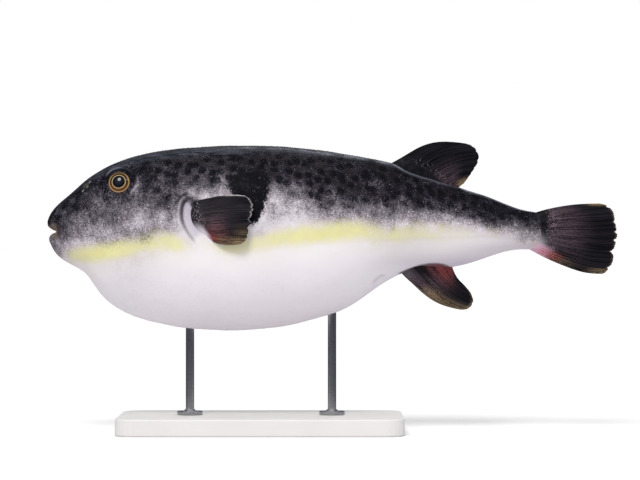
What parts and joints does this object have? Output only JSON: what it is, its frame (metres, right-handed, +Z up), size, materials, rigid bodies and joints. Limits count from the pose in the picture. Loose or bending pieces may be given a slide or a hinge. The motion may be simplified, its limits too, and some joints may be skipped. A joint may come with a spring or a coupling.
{
  "type": "tiger puffer fish display model",
  "caption": "Life-size tiger puffer in a level swimming pose, mouth slightly open and belly part filled, held over a flat base by short steel rods.",
  "frame": {"origin": "on the floor plane, under the centre of the fish's length and width", "axes": "+X towards the tail, -X the way the snout points, +Y towards the fish's right side, +Z up towards its back"},
  "size_m": [0.401, 0.1236, 0.2043],
  "materials": {
    "back_skin": "wet gloss, near-black back over grey mottled flanks and a pale yellow band",
    "belly_skin": "wet gloss, white with a faint lavender cast",
    "fin_skin": "wet satin, near-black with ray ridges and a red patch at some fin bases",
    "eye": "clear gloss over a black pupil and a gold ringed iris",
    "teeth": "ivory, semi-gloss",
    "stand_paint": "matt off-white paint",
    "stand_steel": "brushed"
  },
  "bodies": {
    "root": {"head": "back_skin", "trunk": "back_skin", "tail_stem": "back_skin", "belly": "belly_skin", "fin_dorsal": "fin_skin", "fin_anal": "fin_skin", "fin_tail": "fin_skin", "fin_pectoral_left": "fin_skin", "fin_pectoral_right": "fin_skin", "eye_left": "eye", "eye_right": "eye", "teeth_upper": "teeth", "teeth_lower": "teeth", "stand_base": "stand_paint", "stand_rod_front": "stand_steel", "stand_rod_rear": "stand_steel"}
  },
  "joints": []
}
